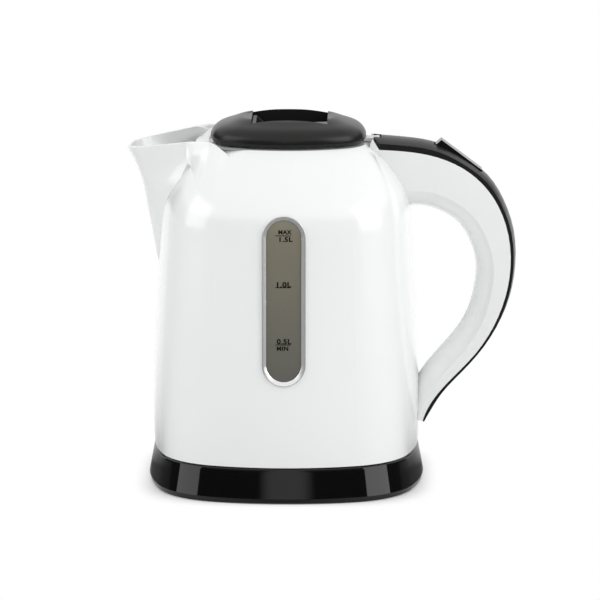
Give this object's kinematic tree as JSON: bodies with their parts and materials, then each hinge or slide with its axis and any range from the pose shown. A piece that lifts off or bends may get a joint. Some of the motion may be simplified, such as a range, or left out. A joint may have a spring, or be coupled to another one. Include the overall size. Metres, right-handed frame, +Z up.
{
  "type": "electric kettle",
  "caption": "Cordless jug kettle: white jug with spout and water gauge, loop handle with rocker switch, hinged dark lid with finger pocket, glossy dark base.",
  "frame": {"origin": "on the table, under the middle of the base", "axes": "+Z up, -X towards the spout, +X towards the handle, -Y through the water gauge, +Y where the mains lead leaves the base"},
  "size_m": [0.2164, 0.1555, 0.2042],
  "materials": {
    "black_gloss": "high gloss",
    "black_satin": "satin",
    "black_plain": "moulded",
    "white_gloss": "gloss",
    "grey_plain": "moulded",
    "bright_trim": "polished",
    "smoked_pane": "smoked translucent",
    "clear_lens": "tinted",
    "rubber_grey": "matt",
    "rubber_black": "matt",
    "steel": "brushed",
    "spring_steel": "drawn",
    "brass": "plated",
    "mesh": "woven"
  },
  "bodies": {
    "base": {"base_shell": "black_gloss", "base_plate": "black_plain", "foot_ring": "rubber_black", "base_connector": "black_plain", "base_contacts": "brass", "cord_gland": "rubber_black", "terminal_block": "grey_plain", "base_wires": "rubber_grey", "base_screws": "steel"},
    "jug": {"jug_shell": "white_gloss", "window_frame": "bright_trim", "window_pane": "smoked_pane", "window_seal": "rubber_grey", "heater_plate": "steel", "heater_seal": "rubber_grey", "heater_element": "steel", "control_unit": "black_plain", "control_contacts": "brass", "bimetal_discs": "brass", "underside_cover": "black_plain", "underside_screws": "steel", "spout_filter_frame": "grey_plain", "spout_filter_mesh": "mesh", "handle_shell": "white_gloss", "handle_cover": "black_satin", "steam_tube": "rubber_grey", "handle_wires": "rubber_grey", "rocker_pin": "steel", "steam_switch": "black_plain", "steam_bimetal": "brass", "switch_contacts": "brass", "pilot_lamp": "clear_lens", "lid_hinge_pin": "steel"},
    "lid": {"lid_cover": "black_satin", "lid_pan": "grey_plain", "lid_gasket": "rubber_grey", "lid_screws": "steel", "catch_spring": "spring_steel"},
    "catch": {"lid_catch": "black_plain"},
    "rocker": {"switch_rocker": "black_gloss"}
  },
  "joints": [
    {"name": "jug_lift", "type": "slide", "parent": "base", "child": "jug", "axis": [0, 0, 1], "range_m": [0, 0.06]},
    {"name": "lid_hinge", "type": "hinge", "parent": "jug", "child": "lid", "pos_m": [0.0508, 0, 0.1907], "axis": [0, 1, 0], "range_deg": [0, 75]},
    {"name": "catch_slide", "type": "slide", "parent": "lid", "child": "catch", "axis": [1, 0, 0], "range_m": [0, 0.004], "stiffness_N_per_m": 300, "springref_m": -0.003, "deforming": ["catch_spring"]},
    {"name": "switch_tilt", "type": "hinge", "parent": "jug", "child": "rocker", "pos_m": [0.09323, 0, 0.18041], "axis": [0, -1, 0], "range_deg": [0, 9]}
  ]
}
